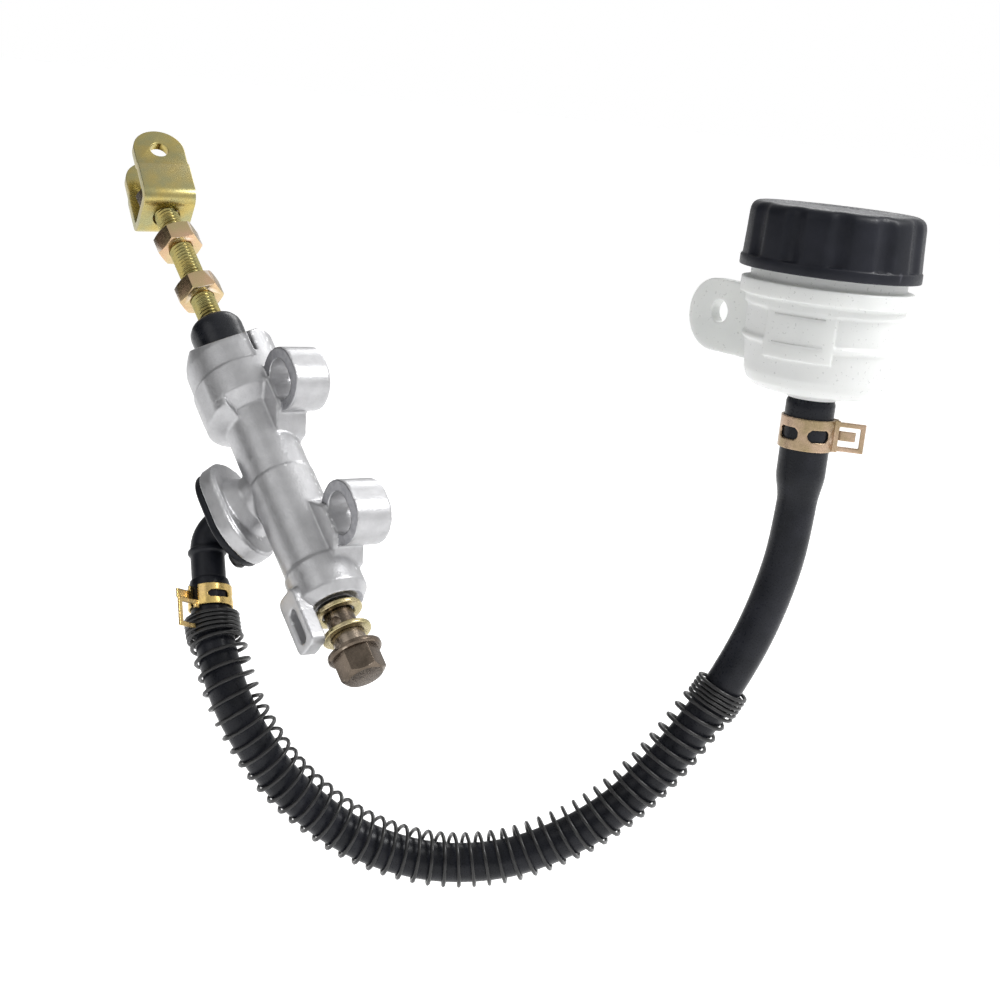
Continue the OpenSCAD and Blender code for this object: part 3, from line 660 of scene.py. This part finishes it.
def make_elbow():
    """Moulded elbow: plate, bent tube with a ridge, and the hose's barb."""
    corner = Vector((0, 0, PLATE_T + ELBOW_RISE))
    lean = math.radians(ELBOW_LEAN)
    out = Vector((math.sin(lean), 0, math.cos(lean)))
    start = corner - Vector((0, 0, 6))
    end = corner + out * 6
    bend = []
    for i in range(13):
        t = i / 12
        bend.append((1 - t) ** 2 * start + 2 * t * (1 - t) * corner + t * t * end)
    tail = corner + out * ELBOW_TAIL
    barb = corner + out * (ELBOW_TAIL + BARB)
    bm = bmesh.new()
    obround(bm, PLATE_L, PLATE_W, 0, PLATE_T)
    sweep(bm, [Vector((0, 0, 0.5)), Vector((0, 0, 3))] + bend + [tail], ELBOW_R, 32)
    sweep(bm, [Vector((0, 0, 1)), Vector((0, 0, PLATE_T + 1.2))],
          [ELBOW_R + 1.6, ELBOW_R + 0.2], 32)
    sweep(bm, [tail - out, barb - out * 3.5, barb - out * 3, barb], [3.9, 3.9, 4.6, 3.5], 24)
    ridge = [corner + out * h for h in (4.6, 5.2, 6.2, 6.8)]
    sweep(bm, ridge, [ELBOW_R, ELBOW_R + 0.7, ELBOW_R + 0.7, ELBOW_R], 32)
    obj = piece("elbow", bm, AT_INLET, BLACK_PLASTIC, "housing",
                ("inlet_elbow",))
    moulded(obj, 0.3, 3)


make_elbow()
broken_edges("inlet_screws", "housing", BLACK_STEEL, 0.25)


# ---------- hose clamps ----------

def clamp(name, matrix, node, material, r_in, width, tab, slots):
    """Spring-band clamp cut from strip: a loop tab, the band with its slots, and
    a tongue that passes beside the loop. The tab is (low, high, length, free_z,
    free_r): above free_z it keeps outside the radius free_r."""
    r = r_in + CLAMP_STRIP / 2
    tab_low, tab_high, tab_out, free_z, free_r = tab
    tab_end, tongue_end, gap = r_in + tab_out, r_in + 7.2, 7.0
    bend = 3.0
    plan = [Vector((tab_end - 0.5 * i, -0.85, 0)) for i in range(int((tab_out - bend) * 2))]
    turns = 150
    for i in range(turns + 1):
        a = math.radians(-gap - 4 - (360 - 2 * gap - 8) * i / turns)
        plan.append(Vector((r * math.cos(a), r * math.sin(a), 0)))
    plan += [Vector((r_in + bend + 0.5 * i, 0.95, 0))
             for i in range(int((tongue_end - r_in - bend) * 2) + 1)]
    plan = rounded_path(plan, 2)
    travel = [0.0]
    for a, b in zip(plan, plan[1:]):
        travel.append(travel[-1] + (b - a).length)
    tab_len, total = tab_end - r_in - 1.0, travel[-1]
    tongue_from = total - (tongue_end - r_in - 1.5)
    levels = int(max(width, tab_high) * 2.8)
    low, high = min(0, tab_low), max(width, tab_high)

    def solid(s, h):
        if s < tab_len:
            if h > free_z and s > tab_end - free_r:
                return False
            window = 1.5 < s < tab_len - 1.2 and tab_low + 1.3 < h < tab_high - 1.3
            return tab_low < h < tab_high and not window
        if s > tongue_from:
            return abs(h - width / 2) < 1.4
        if not 0 < h < width:
            return False
        for centre, half_len, half_h in slots:
            u = abs(s / total - centre) * total
            over = max(u - (half_len - half_h), 0)
            if over * over + (h - width / 2) ** 2 < half_h * half_h:
                return False
        return True

    bm = bmesh.new()
    grid = {}

    def vert(i, j):
        if (i, j) not in grid:
            h = low + (high - low) * j / levels
            grid[i, j] = bm.verts.new(plan[i] + Vector((0, 0, h)))
        return grid[i, j]

    for i in range(len(plan) - 1):
        for j in range(levels):
            s = (travel[i] + travel[i + 1]) / 2
            h = low + (high - low) * (j + 0.5) / levels
            if solid(s, h):
                bm.faces.new((vert(i, j), vert(i + 1, j), vert(i + 1, j + 1), vert(i, j + 1)))
    obj = piece(name, bm, matrix, material, "housing", (node,))
    thickness = obj.modifiers.new("thickness", "SOLIDIFY")
    thickness.thickness = CLAMP_STRIP * MM
    thickness.offset = 0
    bpy.context.view_layer.update()
    modified(obj)
    moulded(obj, 0.16, 3)


LOWER_CLAMP = (AT_ELBOW @ Matrix.Translation((0, 0, ELBOW_TAIL + LOWER_CLAMP_Z))
               @ Matrix.Rotation(math.radians(LOWER_CLAMP_TURN), 4, "Z"))
UPPER_CLAMP = (AT_RESERVOIR @ Matrix.Translation((0, 0, UPPER_CLAMP_Z))
               @ Matrix.Rotation(math.radians(UPPER_CLAMP_TURN), 4, "Z"))
clamp("lower_clamp", LOWER_CLAMP, "lower_hose_clamp", GOLD_CLAMP,
      HOSE_R + 0.1, 6.5, (5.2, 14, 8.4, 7.7, 9), [(c, 3.4, 0.95) for c in (0.28, 0.45, 0.62, 0.79)])
clamp("upper_clamp", UPPER_CLAMP, "upper_hose_clamp", BRONZE_CLAMP,
      SWELL_R, 9.5, (0.5, 9.0, 9.6, 99, 0), [(c, 3.6, 1.9) for c in (0.27, 0.43, 0.59, 0.75)])


# ---------- reservoir ----------

def make_reservoir():
    mesh = bpy.data.meshes.new("reservoir_bottle")
    bm = cad_copy("reservoir_body")
    bm.to_mesh(mesh)
    bm.free()
    mesh.materials.clear()
    mesh.materials.append(MILKY)
    obj = finished("reservoir_bottle", mesh, "housing",
                   ("reservoir_body",))
    moulded(obj, 0.38, 3)
    bm = bmesh.new()
    for z in LEVELS:
        lathe(bm, [(RES_R + 0.4, z - 0.45), (RES_R + 1.0, z - 0.25),
                   (RES_R + 1.0, z + 0.25), (RES_R + 0.4, z + 0.45)],
              sides=24, start=PANEL_FROM + 4, span=PANEL_TO - PANEL_FROM - 8)
    piece("level_lines", bm, AT_RESERVOIR, MILKY, "housing")


def make_cap():
    """Screw cap: shallow round-edged flutes between a plain rim and the top."""
    top = CAP_H
    rows = [
        (CAP_IN_R, 0, 0), (CAP_R - 0.4, 0, 0), (CAP_R - 0.1, 0.12, 0), (CAP_R, 0.45, 0),
        (CAP_R, 2.7, 0), (CAP_R - 0.1, 3.0, 0), (CAP_R - 0.3, 3.2, 0.1),
        (CAP_R - 0.33, 3.5, 0.8), (CAP_R - 0.35, 4.0, 1), (CAP_R - 0.6, 9, 1),
        (CAP_R - 0.85, top - 3.6, 1), (CAP_R - 1.0, top - 2.6, 0.95),
        (CAP_R - 1.25, top - 1.8, 0.85), (CAP_R - 1.7, top - 1.1, 0.7),
        (CAP_R - 2.4, top - 0.55, 0.45), (CAP_R - 3.3, top - 0.2, 0.15),
        (CAP_R - 4.2, top - 0.04, 0), (CAP_R - 5, top, 0), (CAP_R - 5.8, top - 0.08, 0),
        (CAP_R - 6.5, top - 0.5, 0), (CAP_R - 7, top - 0.62, 0), (8, top - 0.45, 0),
        (0.01, top - 0.4, 0), (0.01, top - 2.4, 0), (CAP_IN_R - 0.6, top - 2.4, 0),
        (CAP_IN_R, top - 3, 0)]
    sides = 288
    bm = bmesh.new()
    rings = []
    for i in range(sides):
        a = 2 * math.pi * i / sides
        u = ((i / sides * FLUTES) % 1.0 - 0.5) * 2 * math.pi * CAP_R / FLUTES
        dip = 1.0 * (1 - ease((abs(u) - 0.4) / 3.6))
        rings.append([bm.verts.new(((r - dip * f) * math.cos(a), (r - dip * f) * math.sin(a),
                                    CAP_Z + z)) for r, z, f in rows])
    for i in range(sides):
        one, two = rings[i], rings[(i + 1) % sides]
        for k in range(len(rows)):
            m = (k + 1) % len(rows)
            bm.faces.new((one[k], two[k], two[m], one[m]))
    piece("cap", bm, AT_RESERVOIR, CAP_PLASTIC, "cap", ("reservoir_cap",),
          smooth=40)


make_reservoir()
make_cap()


# ---------- banjo bolt and washers ----------

def make_bolt():
    """Flanged head from CAD, and a threaded shank with a waist at its cross hole."""
    broken_edges("banjo_bolt", "banjo_bolt", BOLT_METAL, 0.3,
                 cut=(ON_AXIS @ Vector((0, 0, BOLT_FACE + 0.6)), AXIS_DIR))
    bm = bmesh.new()
    threaded(bm, BOLT_R, BOLT_HOLE + 4, BOLT_TIP, ROD_PITCH, 0.6)
    sweep(bm, [Vector((0, 0, z)) for z in (BOLT_FACE - 0.5, BOLT_HOLE - 3.2, BOLT_HOLE - 2.6,
                                           BOLT_HOLE + 3.6, BOLT_HOLE + 4.3)],
          [BOLT_R, BOLT_R, BOLT_WAIST_R, BOLT_WAIST_R, BOLT_WAIST_R + 0.05], 48)
    shank = piece("bolt_shank", bm, ON_AXIS, BOLT_METAL, "banjo_bolt")
    bm = bmesh.new()
    sweep(bm, [Vector((0, -10, 0)), Vector((0, 10, 0))], BOLT_DRILL_R, 32)
    drill_mesh = bpy.data.meshes.new("drill")
    bm.transform(ON_AXIS @ Matrix.Translation((0, 0, BOLT_HOLE))
                 @ Matrix.Rotation(math.radians(BOLT_DRILL_TURN), 4, "Z"))
    bm.to_mesh(drill_mesh)
    bm.free()
    drill = bpy.data.objects.new("drill", drill_mesh)
    bpy.context.scene.collection.objects.link(drill)
    cut = shank.modifiers.new("hole", "BOOLEAN")
    cut.object = drill
    cut.solver = "EXACT"
    bpy.context.view_layer.update()
    modified(shank)
    bpy.data.objects.remove(drill)
    shank.data.shade_smooth()
    shank.data.set_sharp_from_angle(angle=math.radians(40))


make_bolt()
broken_edges("inner_washer", "housing", OLIVE_METAL, 0.12, 2)
broken_edges("outer_washer", "outer_washer", OLIVE_METAL, 0.12, 2)


# ---------- floor and light ----------

def make_floor():
    low = CAD_BOX[0][2] - FLOOR_GAP
    mesh = bpy.data.meshes.new("floor")
    size = FLOOR_SIZE
    mesh.from_pydata([(-size, -size, low), (size, -size, low), (size, size, low),
                      (-size, size, low)], [], [(0, 1, 2, 3)])
    floor = bpy.data.objects.new("floor", mesh)
    mesh.materials.append(surface("floor_paper", (0.86, 0.86, 0.86), (0.88, 0.88, 0.88),
                                  0.7, patch=3, grain=500, bump=0.05,
                                  Emission_Color=(1, 1, 1, 1), Emission_Strength=0.5))
    bpy.context.scene.collection.objects.link(floor)


def make_world():
    """Pale room, brighter towards the key light's side."""
    world = bpy.data.worlds.new("studio")
    bpy.context.scene.world = world
    world.use_nodes = True
    nodes, links = world.node_tree.nodes, world.node_tree.links
    background = nodes["Background"]
    coord = nodes.new("ShaderNodeTexCoord")
    dot = nodes.new("ShaderNodeVectorMath")
    dot.operation = "DOT_PRODUCT"
    bright = (VIEW_RIGHT + VIEW_UP * 0.5).normalized()
    dot.inputs[1].default_value = bright
    links.new(coord.outputs["Generated"], dot.inputs[0])
    ramp = nodes.new("ShaderNodeMapRange")
    ramp.inputs["From Min"].default_value = -0.6
    ramp.inputs["From Max"].default_value = 0.9
    ramp.inputs["To Min"].default_value = 0.06
    ramp.inputs["To Max"].default_value = 0.9
    links.new(dot.outputs["Value"], ramp.inputs["Value"])
    links.new(ramp.outputs["Result"], background.inputs["Strength"])
    background.inputs["Color"].default_value = (1, 1, 1, 1)
    seen = nodes.new("ShaderNodeBackground")
    seen.inputs["Color"].default_value = (1, 1, 1, 1)
    seen.inputs["Strength"].default_value = 1.0
    mix = nodes.new("ShaderNodeMixShader")
    rays = nodes.new("ShaderNodeLightPath")
    links.new(rays.outputs["Is Camera Ray"], mix.inputs["Fac"])
    links.new(background.outputs["Background"], mix.inputs[1])
    links.new(seen.outputs["Background"], mix.inputs[2])
    links.new(mix.outputs["Shader"], nodes["World Output"].inputs["Surface"])


def make_light(name, place, target, size, power):
    data = bpy.data.lights.new(name, "AREA")
    data.shape = "DISK"
    data.size = size
    data.energy = power
    light = bpy.data.objects.new(name, data)
    light.matrix_world = Matrix.Translation(place) @ (
        (target - place).to_track_quat("-Z", "Y").to_matrix().to_4x4())
    bpy.context.scene.collection.objects.link(light)


bpy.context.scene.view_settings.view_transform = "Standard"
make_floor()
make_world()
CENTRE = (Vector(CAD_BOX[0]) + Vector(CAD_BOX[1])) / 2
make_light("key", CENTRE + VIEW_RIGHT * 0.7 + VIEW_UP * 0.6 + VIEW_BACK * 0.35, CENTRE, 0.4, 6.5)
make_light("fill", CENTRE - VIEW_RIGHT * 0.6 + VIEW_UP * 0.5 + VIEW_BACK * 0.6, CENTRE, 0.7, 1.2)
make_light("rim", CENTRE + VIEW_RIGHT * 0.3 + VIEW_UP * 0.8 - VIEW_BACK * 0.6, CENTRE, 0.5, 2.5)
